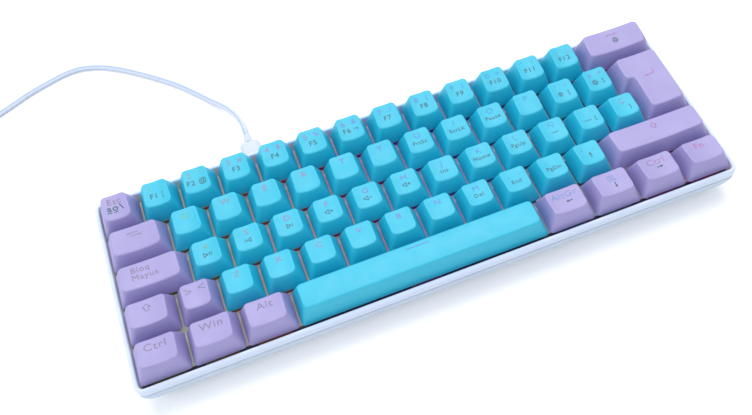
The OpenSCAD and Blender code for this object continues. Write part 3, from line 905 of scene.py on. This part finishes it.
def text_shape(bm, body, at, size, bold=0.0):
    """Flat letters in the x-y plane, centred on a place; size is the height of a capital."""
    curve = bpy.data.curves.new("letters", "FONT")
    curve.body = body
    curve.size = size * CAPITAL
    curve.align_x = "CENTER"
    curve.align_y = "CENTER"
    curve.resolution_u = 3
    curve.space_character = 1.1
    curve.offset = bold
    letters = bpy.data.objects.new("letters", curve)
    scene.collection.objects.link(letters)
    bpy.context.view_layer.update()
    mesh = bpy.data.meshes.new_from_object(
        letters.evaluated_get(bpy.context.evaluated_depsgraph_get()))
    kept = len(bm.verts)
    bm.from_mesh(mesh)
    bm.verts.ensure_lookup_table()
    for v in bm.verts[kept:]:
        v.co = (at[0] + v.co.x * LETTER_STRETCH, at[1] + v.co.y, 0)
    bpy.data.objects.remove(letters)
    bpy.data.curves.remove(curve)
    bpy.data.meshes.remove(mesh)


def polygon_shape(bm, points):
    bm.faces.new([bm.verts.new((x, y, 0)) for x, y in points])


def line_shape(bm, start, end, width):
    a, b = Vector(start), Vector(end)
    side = (b - a).normalized() * (width / 2)
    side = Vector((-side.y, side.x))
    polygon_shape(bm, [a - side, b - side, b + side, a + side])


def ring_shape(bm, at, outer, inner):
    count = 16
    for k in range(count):
        a, b = 2 * math.pi * k / count, 2 * math.pi * (k + 1) / count
        polygon_shape(bm, [(at[0] + r * math.cos(t), at[1] + r * math.sin(t))
                           for r, t in ((inner, a), (outer, a), (outer, b), (inner, b))])


def arrow_shape(bm, at, turn, length=3.2, width=0.42, head=0.95):
    """Arrow whose point faces along the turn, in degrees from +x."""
    a = math.radians(turn)
    ahead, side = Vector((math.cos(a), math.sin(a))), Vector((-math.sin(a), math.cos(a)))
    tip = Vector(at) + ahead * length / 2
    neck = tip - ahead * head * 1.3
    line_shape(bm, Vector(at) - ahead * length / 2, neck, width)
    polygon_shape(bm, [neck - side * head * 0.75, tip, neck + side * head * 0.75])


def sun_shape(bm, at, size):
    ring_shape(bm, at, size * 0.52, size * 0.3)
    for k in range(8):
        a = math.pi * k / 4
        direction = Vector((math.cos(a), math.sin(a)))
        line_shape(bm, Vector(at) + direction * size * 0.62, Vector(at) + direction * size,
                   size * 0.26)


def closed_line(bm, points, width):
    for a, b in zip(points, points[1:] + points[:1]):
        line_shape(bm, a, b, width)


def play_shape(bm, at, turn):
    x, y = at
    size = 1.05
    points = [(x + turn * size, y), (x - turn * size * 0.8, y + size),
              (x - turn * size * 0.8, y - size)]
    closed_line(bm, points, 0.3)


def speaker_shape(bm, at, mark):
    x, y = at
    closed_line(bm, [(x - 1.9, y - 0.4), (x - 1.1, y - 0.4), (x, y - 1.2), (x, y + 1.2),
                     (x - 1.1, y + 0.4), (x - 1.9, y + 0.4)], 0.28)
    if mark != 0:
        line_shape(bm, (x + 0.5, y), (x + 1.9, y), 0.32)
    if mark > 0:
        line_shape(bm, (x + 1.2, y - 0.7), (x + 1.2, y + 0.7), 0.32)
    if mark == 0:
        line_shape(bm, (x + 0.6, y - 0.7), (x + 1.8, y + 0.7), 0.28)
        line_shape(bm, (x + 0.6, y + 0.7), (x + 1.8, y - 0.7), 0.28)


def light_bar_shape(bm, at, mark):
    """Small keyboard-light sign: three dots over a bar."""
    x, y = at
    for k in (-1, 0, 1):
        line_shape(bm, (x + k * 0.8 - 0.22, y), (x + k * 0.8 + 0.22, y), 0.5)
    line_shape(bm, (x - 1.9, y), (x - 1.3, y), 0.25)
    if mark > 0:
        line_shape(bm, (x + 1.3, y), (x + 1.9, y), 0.25)


def shift_shape(bm, at, size=1.9):
    x, y = at
    path = [(0, 1), (0.95, 0), (0.42, 0), (0.42, -0.85), (-0.42, -0.85), (-0.42, 0), (-0.95, 0)]
    path = [(x + a * size, y + b * size) for a, b in path]
    closed_line(bm, path, 0.3)


def angle_shape(bm, at, facing):
    """Wide, thin angle bracket that points to the side it faces."""
    x, y = at
    for up in (-1, 1):
        line_shape(bm, (x + facing * 1.5, y), (x - facing * 1.5, y + up * 1.35), 0.36)


def tab_shape(bm, at):
    x, y = at
    arrow_shape(bm, (x - 0.3, y + 0.75), 180, 4.6, 0.28, 0.7)
    line_shape(bm, (x - 2.9, y + 0.1), (x - 2.9, y + 1.4), 0.28)
    arrow_shape(bm, (x + 0.3, y - 0.75), 0, 4.6, 0.28, 0.7)
    line_shape(bm, (x + 2.9, y - 1.4), (x + 2.9, y - 0.1), 0.28)


def enter_shape(bm, at):
    x, y = at
    arrow_shape(bm, (x - 0.6, y - 0.9), 180, 5.2, 0.34, 0.8)
    line_shape(bm, (x + 2.0, y - 1.06), (x + 2.0, y + 1.5), 0.34)


def menu_shape(bm, at):
    x, y = at
    frame_points = [(x - 1.6, y - 1.5), (x + 1.2, y - 1.5), (x + 1.2, y + 1.5), (x - 1.6, y + 1.5)]
    closed_line(bm, frame_points, 0.26)
    for k in (-0.7, 0.0, 0.7):
        line_shape(bm, (x - 1.0, y + k), (x + 0.6, y + k), 0.24)
    polygon_shape(bm, [(x + 1.0, y - 0.4), (x + 2.2, y - 1.2), (x + 1.3, y - 1.7)])


def space_shape(bm, at):
    """Thin line near the space bar's back edge, 4.4 mm behind the bar's own origin."""
    line_shape(bm, (-5.6, 4.4), (5.6, 4.4), 0.42)


def ordinal_shape(bm, at):
    """Raised a and o with a bar under each, and a backslash."""
    x, y = at
    text_shape(bm, "a", (x - 3.5, y + 0.4), 3.3, 0.04)
    text_shape(bm, "o", (x - 0.8, y + 0.4), 3.3, 0.04)
    line_shape(bm, (x - 4.6, y - 1.7), (x - 2.5, y - 1.7), 0.4)
    line_shape(bm, (x - 1.8, y - 1.7), (x + 0.3, y - 1.7), 0.4)
    line_shape(bm, (x + 1.3, y + 1.9), (x + 2.9, y - 1.3), 0.42)


# Legends of each key, key by key: lit signs, then printed signs. A sign is its text, its place
# from the middle of the cap's top and the height of a capital, or its maker, place and settings.
MAIN_Y = 2.6
SIDE_X = 2.7
PRINT_Y = -1.4


def letter(sign):
    return [(sign, (0, MAIN_Y), 3.0)]


def pair(first, second):
    return [(first, (-SIDE_X, MAIN_Y), 2.9), (second, (SIDE_X, MAIN_Y), 2.5)]


def mark(sign, size=2.1):
    return [(sign, (0, PRINT_Y), size)]


def digit(first, second, function):
    return pair(first, second), mark(function, 2.6)


def letters(signs):
    return [(letter(sign), []) for sign in signs]


LEGENDS = {
    "key_escape": [([("Esc", (-0.2, 2.7), 3.1)], [(ordinal_shape, (0.6, -0.9))])],
    "keys_1_2": [digit("1", "!", "F1 ¦"), digit("2", "\"", "F2 @")],
    "keys_3_4": [digit("3", "#", "F3"), digit("4", "$", "F4")],
    "keys_5_6": [digit("5", "%", "F5"), digit("6", "&", "F6 ¬")],
    "keys_7_8": [digit("7", "/", "F7"), digit("8", "(", "F8")],
    "keys_9_0": [digit("9", ")", "F9"), digit("0", "=", "F10")],
    "keys_f11_f12": [digit("'", "?", "F11"), digit("¿", "¡", "F12")],
    "key_backspace": [([(arrow_shape, (0, 3.0), 180, 6.0, 0.3, 0.7)],
                       [(sun_shape, (0.6, -0.6), 1.75)])],
    "key_tab": [([(tab_shape, (0, 2.2))], [])],
    "keys_q_w": letters("QW"),
    "keys_e_r": letters("ER"),
    "keys_t_y": letters("TY"),
    "keys_u_i": [(letter("U"), mark("PrtSc")), (letter("I"), mark("ScrLk"))],
    "keys_o_p": [(letter("O"), mark("Pause")), (letter("P"), [])],
    "keys_brackets": [
        (pair("`", "^"), [(sun_shape, (-1.6, -1.5), 1.4), ("[", (2.7, -1.6), 2.2)]),
        (pair("+", "*"), [(sun_shape, (-1.6, -1.5), 1.7), ("]", (2.7, -1.6), 2.2)])],
    "key_caps_lock": [([("Bloq", (-3.6, 2.8), 2.9), ("Mayus", (-2.0, -1.0), 2.9)], [])],
    "keys_a_s": [
        (letter("A"), [(play_shape, (-0.9, -1.6), 1), ("II", (1.3, -1.6), 1.9)]),
        (letter("S"), [("I", (-1.5, -1.6), 1.9), (play_shape, (0.2, -1.6), -1)])],
    "keys_d_f": [
        (letter("D"), [(play_shape, (-0.2, -1.6), 1), ("I", (1.5, -1.6), 1.9)]),
        (letter("F"), [(speaker_shape, (0, -1.5), 0)])],
    "keys_g_h": [
        (letter("G"), [(speaker_shape, (0, -1.5), -1)]),
        (letter("H"), [(speaker_shape, (0, -1.5), 1)])],
    "keys_j_k": [(letter("J"), mark("Ins")), (letter("K"), mark("Home"))],
    "keys_l_n_tilde": [(letter("L"), mark("PgUp")),
                       (letter("Ñ"), [(light_bar_shape, (0.2, -1.5), 1)])],
    "keys_braces": [
        (pair("´", "¨"), [(light_bar_shape, (-1.0, -1.5), 1), ("{", (2.9, -1.5), 2.2)]),
        (letter("Ç"), [("}", (2.7, -1.7), 2.2)])],
    "key_left_shift": [([(shift_shape, (0, 2.2))], [])],
    "key_angle": [([(angle_shape, (-3.0, 2.2), 1),
                    (angle_shape, (3.0, 2.8), -1)], [])],
    "keys_z_x": letters("ZX"),
    "keys_c_v": letters("CV"),
    "keys_b_n": letters("BN"),
    "keys_m_comma": [(letter("M"), mark("Del")), (pair(",", ";"), mark("End"))],
    "keys_dot_dash": [(pair(".", ":"), mark("PgDn")),
                      (pair("-", "_"), [(arrow_shape, (0.3, -1.2), 90)])],
    "key_right_shift": [([(shift_shape, (0, 2.4), 1.8)], [])],
    "key_left_ctrl": [([("Ctrl", (-0.3, 2.4), 3.7)], [])],
    "key_win": [([("Win", (0.2, 2.5), 3.7)], [])],
    "key_alt": [([("Alt", (0, 2.6), 3.6)], [])],
    "key_space": [([(space_shape, (0, 0))], [])],
    "key_alt_gr": [([("AltGr", (0, 2.7), 3.3)], [(arrow_shape, (1.2, -1.0), 180)])],
    "key_menu": [([(menu_shape, (0.4, 2.4))], [(arrow_shape, (1.0, -1.6), -90)])],
    "key_right_ctrl": [([("Ctrl", (0, 2.7), 3.4)], [(arrow_shape, (0.8, -0.6), 0)])],
    "key_fn": [([("Fn", (-0.6, 2.7), 3.3)], [])],
    "key_enter": [([(enter_shape, (2.0, 3.0))], [])],
}


# How far an inlay goes below and above the cap's top, and the grid it is cut along to bend
INLAY_SINK = 0.1
INLAY_RISE = 0.07
INLAY_GRID = 0.9


def legend_mesh(bm, signs, cap, at, material):
    """Adds signs to bm as thin inlays that follow the cap's top."""
    flat = bmesh.new()
    for sign, where, *settings in signs:
        spot = (cap.middle_x + where[0], cap.middle_y + where[1])
        if isinstance(sign, str):
            text_shape(flat, sign, spot, *settings)
        else:
            sign(flat, spot, *settings)
    bmesh.ops.triangulate(flat, faces=flat.faces)
    xs = [v.co.x for v in flat.verts]
    ys = [v.co.y for v in flat.verts]
    for axis, values in ((0, xs), (1, ys)):
        cut = math.floor(min(values) / INLAY_GRID) * INLAY_GRID
        while cut < max(values):
            plane = [0, 0, 0]
            plane[axis] = 1
            bmesh.ops.bisect_plane(flat, geom=[*flat.verts, *flat.edges, *flat.faces],
                                   plane_co=Vector(plane) * cut, plane_no=plane)
            cut += INLAY_GRID
    bmesh.ops.triangulate(flat, faces=flat.faces)
    for v in flat.verts:
        v.co.z = cap.height(v.co.x, v.co.y) - INLAY_SINK
    made = bmesh.ops.extrude_face_region(flat, geom=flat.faces[:], use_keep_orig=True)
    for v in made["geom"]:
        if isinstance(v, bmesh.types.BMVert):
            v.co.z += INLAY_SINK + INLAY_RISE
    for face in flat.faces:
        face.material_index = material
    bmesh.ops.translate(flat, verts=flat.verts, vec=(at[0], at[1], 0))
    mesh = bpy.data.meshes.new("inlay")
    flat.to_mesh(mesh)
    flat.free()
    bm.from_mesh(mesh)
    bpy.data.meshes.remove(mesh)


def socket(bm, at, top):
    lathe(bm, [(2.0, 6.62), (2.6, 6.62), (2.75, 6.8), (2.75, top), (2.0, top)], at, 20)


def switch_stem(bm, at):
    block(bm, (6.9, 5.3), -0.3, 6.6, at, 0.3)
    block(bm, (4.0, 1.2), 6.5, 10.2, at, 0.12)
    block(bm, (1.2, 4.0), 6.5, 10.18, at, 0.12)


def stabilizer_stem(bm, at, turned=False):
    size = (5.2, 4.2) if turned else (4.2, 5.2)
    block(bm, size, 1.8, 6.6, at, 0.25)
    block(bm, (4.0, 1.2), 6.5, 10.2, at, 0.12)
    block(bm, (1.2, 4.0), 6.5, 10.18, at, 0.12)
    sides = ((0, -1.75), (0, 1.75)) if turned else ((-1.65, 0), (1.65, 0))
    for dx, dy in sides:
        leg = (size[0], 0.85) if turned else (0.85, size[1])
        block(bm, leg, -0.85, 2.0, (at[0] + dx, at[1] + dy), 0.15)


def add_key(node, cap, centres, turned=False):
    """One key body: its caps with legends, its stems and its springs."""
    purple = node.startswith("key_") and node != "key_space"
    colour = "purple" if purple else "turquoise"
    half = STABILIZERS.get(node, 0)
    bm = bmesh.new()
    stems = bmesh.new()
    springs = bmesh.new()
    signs = bmesh.new()
    for index, at in enumerate(centres):
        cap.build(bm, at)
        posts = [at]
        if half:
            shift = (0, half) if turned else (half, 0)
            posts += [(at[0] - shift[0], at[1] - shift[1]), (at[0] + shift[0], at[1] + shift[1])]
        for k, post in enumerate(posts):
            socket(bm, post, cap.height(post[0] - at[0], post[1] - at[1]) - 1.2)
            if k:
                stabilizer_stem(stems, post, turned)
            else:
                switch_stem(stems, post)
        lit, dark = LEGENDS[node][index]
        if lit:
            legend_mesh(signs, lit, cap, at, 0)
        if dark:
            legend_mesh(signs, dark, cap, at, 1)
        turns, steps = 6, 16
        path = []
        for k in range(turns * steps + 1):
            angle = 2 * math.pi * k / steps
            path.append((at[0] + 2.0 * math.cos(angle), at[1] + 2.0 * math.sin(angle),
                         -4.4 + 7.2 * k / (turns * steps)))
        add_tube(springs, path, 0.2, 5)
    tag = node.split("_", 1)[1]
    slot = "cap_" + colour
    add_piece(bm, "cap_" + tag, PLATE, [slot], node, slot, node, smooth_angle=50)
    add_piece(signs, "legend_" + tag, PLATE, ["legend_" + colour, "print_dark"], node, slot)
    add_piece(stems, "stem_" + tag, PLATE, ["stem"], node, "switch_black")
    piece = add_piece(springs, "spring_" + tag, PLATE, ["spring"], BASE, "spring_steel",
                      "switch_springs")
    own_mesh(piece)


for node, row, left, width, count in KEYS:
    middles = [(key_x(left + width * (i + 0.5)), row_y(row)) for i in range(count)]
    add_key(node, plain_cap(row, width), middles)
add_key(ENTER[0], enter_cap(), [(key_x(ENTER[1]), row_y(ENTER[2]))], turned=True)

# ---------------------------------------------------------------- case

CASE_X, CASE_Y, CASE_MID = 145.0, 50.3, -0.4
CORNER = 4.0


def case_ring(inset, w, radius=None):
    radius = max(CORNER - inset, 1.2) if radius is None else radius
    flat = outline(rectangle(CASE_X - inset, CASE_Y - inset, CASE_MID), radius * 1.25, 8, 10)
    return [(p.x, p.y, w) for p in flat]


def add_rim():
    """Upper frame: a rounded rim on upright walls, with a tongue inside the lower shell."""
    bm = bmesh.new()
    band = [(1.3, -1.0), (1.3, 1.0), (0.5, 1.0), (0.34, 1.12), (0.3, 1.4), (0.3, 2.1),
            (0.12, 2.35)]
    outside = [(0.12, 2.35), (0.02, 2.6), (0.0, 2.9), (0.0, 3.5), (0.06, 3.75), (0.26, 3.9),
               (0.3, 4.05), (0.26, 4.2), (0.06, 4.35), (0.0, 4.6), (0.0, 4.9), (0.07, 5.35),
               (0.28, 5.8), (0.62, 6.1), (1.0, 6.2), (1.3, 6.2), (1.65, 6.1), (1.93, 5.85),
               (2.08, 5.5), (2.1, 5.1)]
    inside = [(2.1, 5.1), (2.1, 2.0), (2.1, -1.0)]
    # The frame's lower band takes the darker case copy, painted shade
    ring_strip(bm, [case_ring(d, w) for d, w in band], 2)
    ring_strip(bm, [case_ring(d, w) for d, w in outside])
    ring_strip(bm, [case_ring(d, w) for d, w in inside], 1)
    ring_strip(bm, [case_ring(d, w) for d, w in ((2.1, -1.0), (1.3, -1.0))], 1)
    bmesh.ops.remove_doubles(bm, verts=bm.verts, dist=0.001)
    add_piece(bm, "rim_frame", PLATE, ["case", "case_lit", "case_low_painted_shade"],
              BASE, "case_white", "top_frame", smooth_angle=60)


def to_plate(points):
    back = PLATE.inverted()
    return [back @ (Vector(p) * MM) for p in points]


def level_ring(half_x, front, back, z, radius):
    """Horizontal ring of the lower shell, in millimetres of the row frame."""
    flat = outline([(-half_x, front), (half_x, front), (half_x, back), (-half_x, back)],
                   radius * 1.25, 8, 10)
    return to_plate([(p.x, p.y, z) for p in flat])


def add_lower_shell():
    bm = bmesh.new()
    rings = [
        case_ring(1.35, -0.9), case_ring(1.35, 0.75), case_ring(0.5, 0.98), case_ring(0.2, 0.86),
        case_ring(0.06, 0.6), case_ring(0.05, 0.1), case_ring(0.12, -1.0),
        level_ring(144.1, -48.75, 50.15, 8.5, 4.2), level_ring(143.8, -48.4, 49.95, 7.6, 4.4),
        level_ring(143.2, -47.8, 49.3, 6.7, 4.6), level_ring(139.5, -44.1, 45.6, 1.9, 5.0),
        level_ring(138.9, -43.5, 45.0, 1.35, 5.0), level_ring(138.2, -42.8, 44.3, 1.2, 5.0),
        level_ring(137.0, -41.5, 43.0, 1.2, 5.0),
    ]
    inner = [
        level_ring(136.6, -41.0, 42.5, 3.4, 4.0), level_ring(137.4, -41.9, 43.4, 3.5, 4.0),
        level_ring(142.0, -46.6, 48.3, 8.2, 3.0), case_ring(2.0, -3.0), case_ring(2.0, -0.9),
    ]
    made = ring_strip(bm, rings)
    cap_ring(bm, made[-1], to_plate([(0, 0.7, 1.2)])[0])
    inner_made = ring_strip(bm, inner)
    cap_ring(bm, inner_made[0], to_plate([(0, 0.7, 3.4)])[0])
    top = [v.co.copy() for v in made[0]]
    ring_strip(bm, [top, [v.co.copy() for v in inner_made[-1]]])
    bmesh.ops.remove_doubles(bm, verts=bm.verts, dist=0.001)
    # The lower shell takes the darker case copy, painted shade
    piece = finish_mesh(bm, "lower_shell", PLATE, [M["case_low_painted_shade"]], 40)
    cutter = bmesh.new()
    lofted(cutter, [rounded_section(4.9, 2.05, 2.0, y, (SOCKET_X, SOCKET_W)) for y in (42.6, 60)])
    knife = finish_mesh(cutter, "port_cut", PLATE, [])
    cut = piece.modifiers.new("port", "BOOLEAN")
    cut.operation = "DIFFERENCE"
    cut.solver = "EXACT"
    cut.object = knife
    bpy.context.view_layer.update()
    graph = bpy.context.evaluated_depsgraph_get()
    mesh = bpy.data.meshes.new_from_object(piece.evaluated_get(graph))
    piece.modifiers.clear()
    mesh.set_sharp_from_angle(angle=math.radians(30))
    piece.data = mesh
    bpy.data.objects.remove(knife)
    place(piece, BASE, "case_white", "bottom_case")


SCREWS = [(x, y * PITCH) for x in (-128, -9.5, 95) for y in (1.5, -1.5)]


def add_screws():
    bosses = bmesh.new()
    screws = bmesh.new()
    for at in SCREWS:
        floor = (PLATE.inverted() @ Vector((at[0] * MM, at[1] * MM, 0.0030))).z
        lathe(bosses, [(2.9, floor), (2.6, floor + 0.8), (2.6, -6.8), (2.4, -6.62), (1.2, -6.62)],
              at, 24)
        head = [(0.25, -3.9), (0.55, -3.62), (1.1, -3.6), (1.6, -3.75), (1.85, -4.1), (1.9, -4.5),
                (1.9, -5.0), (1.0, -5.0)]
        thread = []
        for k in range(12):
            thread.append((1.0 if k % 2 else 0.78, -5.2 - 0.5 * k))
        lathe(screws, head + thread + [(0.4, -11.1)], at, 24)
    # The bosses take the lower shell's darker case copy, painted shade
    add_piece(bosses, "screw_bosses", PLATE, ["case_low_painted_shade"], BASE, "case_white")
    add_piece(screws, "board_screws", PLATE, ["steel"], BASE, "screw_steel", "case_screws")


def add_feet():
    bm = bmesh.new()
    for x in (-126, 126):
        for y in (-33, 34):
            lathe(bm, [(3.4, 0.12), (3.9, 0.0), (4.6, 0.0), (4.92, 0.2), (5.0, 0.5), (5.0, 1.2)],
                  (x, y), 40)
    add_piece(bm, "feet_rubber", ROW, ["rubber"], BASE, "foot_rubber", "rubber_feet")


add_rim()
add_lower_shell()
add_screws()
add_feet()

# ---------------------------------------------------------------- CAD nodes that stay

for node, material in {
    "switch_plate": "plate", "circuit_board": "board", "controller_chip": "chip",
    "backlight_leds": "led", "usb_socket": "steel", "switch_bases": "switch_black",
    "switch_tops": "switch_clear", "stabilizer_housings": "nylon", "wire_backspace": "steel",
    "wire_enter": "steel", "wire_right_shift": "steel", "wire_space": "steel",
}.items():
    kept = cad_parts[node]
    kept.data.materials.clear()
    kept.data.materials.append(M[material])

# ---------------------------------------------------------------- floor, world and lights


def add_floor():
    n = Nodes("floor_paper", (0.93, 0.93, 0.93), 0.85)
    n.vary((0.93, 0.93, 0.93), (0.91, 0.91, 0.915), 3)
    n.shader.inputs["Emission Color"].default_value = (1, 1, 1, 1)
    n.shader.inputs["Emission Strength"].default_value = 0.12
    bm = bmesh.new()
    bmesh.ops.create_grid(bm, x_segments=8, y_segments=8, size=3)
    floor = finish_mesh(bm, "floor", Matrix.Identity(4), [n.material])


def add_world():
    world = bpy.data.worlds.new("studio")
    world.use_nodes = True
    background = world.node_tree.nodes["Background"]
    background.inputs["Color"].default_value = (0.93, 0.96, 1.0, 1)
    background.inputs["Strength"].default_value = 0.80
    scene.world = world


add_floor()
add_world()
add_area_light("soft_top", (0.12, 0.42, 0.95), (1.2, 0.9), 8.5, (1.0, 0.99, 0.98))
add_area_light("soft_left", (-0.9, -0.3, 0.7), (0.9, 0.7), 3, (0.95, 0.98, 1.0))
